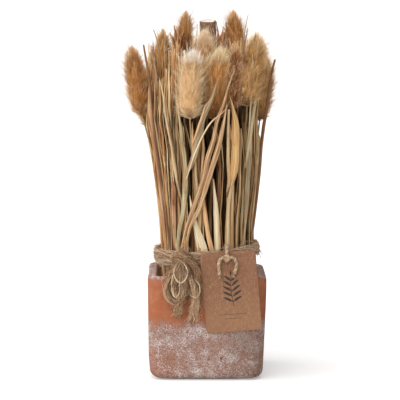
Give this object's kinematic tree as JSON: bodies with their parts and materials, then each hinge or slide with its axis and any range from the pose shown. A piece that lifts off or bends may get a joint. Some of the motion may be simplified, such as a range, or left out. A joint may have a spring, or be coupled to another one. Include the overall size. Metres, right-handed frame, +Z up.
{
  "type": "vase of dried flowers",
  "caption": "Square terracotta pot holding a tied sheaf of dried grasses, straw leaves and hare's-tail heads, bound with a jute bow and hung with a kraft card tag.",
  "frame": {"origin": "centre of the pot's flat underside", "axes": "+Z up along the sheaf, -Y towards the front, where the tag and the bow hang, +X to the right seen from the front"},
  "size_m": [0.1248, 0.12, 0.2999],
  "materials": {
    "terracotta": "matte, worn, with a chalky bloom low down",
    "jute": "matte, loose frayed fibre",
    "kraft_card": "matte",
    "twine": "matte, two-ply twist",
    "reed": "matte, ridged bark",
    "hare_tail": "soft awns",
    "pale_hare_tail": "soft pale awns",
    "seed_plume": "bristly",
    "husk": "matte, papery",
    "cream_straw": "satin",
    "tan_leaf": "satin",
    "brown_leaf": "satin",
    "olive_leaf": "satin",
    "grey_leaf": "satin",
    "brown_twig": "matte",
    "honey_stem": "satin",
    "straw": "satin",
    "russet_straw": "satin",
    "sage_straw": "satin"
  },
  "bodies": {
    "root": {"pot": "terracotta", "jute_tie": "jute", "tag": "kraft_card", "tag_string": "twine", "cut_stalk": "reed", "hare_tail_01": "hare_tail", "hare_tail_02": "hare_tail", "hare_tail_03": "hare_tail", "hare_tail_04": "pale_hare_tail", "hare_tail_05": "pale_hare_tail", "hare_tail_06": "pale_hare_tail", "hare_tail_07": "hare_tail", "hare_tail_08": "hare_tail", "hare_tail_09": "hare_tail", "hare_tail_10": "hare_tail", "hare_tail_11": "hare_tail", "hare_tail_12": "hare_tail", "hare_tail_13": "hare_tail", "hare_tail_14": "hare_tail", "hare_tail_15": "hare_tail", "seed_plume_1": "seed_plume", "seed_plume_2": "seed_plume", "husk_spray_1": "husk", "husk_spray_2": "husk", "husk_spray_3": "husk", "cream_sheath": "cream_straw", "cream_stalk": "cream_straw", "knotty_stem": "honey_stem", "crossing_leaf_left": "tan_leaf", "crossing_leaf_right": "tan_leaf", "broad_brown_leaf": "brown_leaf", "olive_leaf": "olive_leaf", "grey_leaf": "grey_leaf", "brown_twig_left": "brown_twig", "brown_twig_right": "brown_twig", "leafy_stem_01": "straw", "leafy_stem_02": "russet_straw", "leafy_stem_03": "sage_straw", "leafy_stem_04": "straw", "leafy_stem_05": "cream_straw", "leafy_stem_06": "straw", "leafy_stem_07": "russet_straw", "leafy_stem_08": "sage_straw", "leafy_stem_09": "straw", "leafy_stem_10": "cream_straw", "leafy_stem_11": "straw", "leafy_stem_12": "russet_straw", "leafy_stem_13": "sage_straw", "leafy_stem_14": "straw", "leafy_stem_15": "cream_straw", "leafy_stem_16": "straw", "leafy_stem_17": "russet_straw", "leafy_stem_18": "sage_straw", "leafy_stem_19": "straw"}
  },
  "joints": []
}
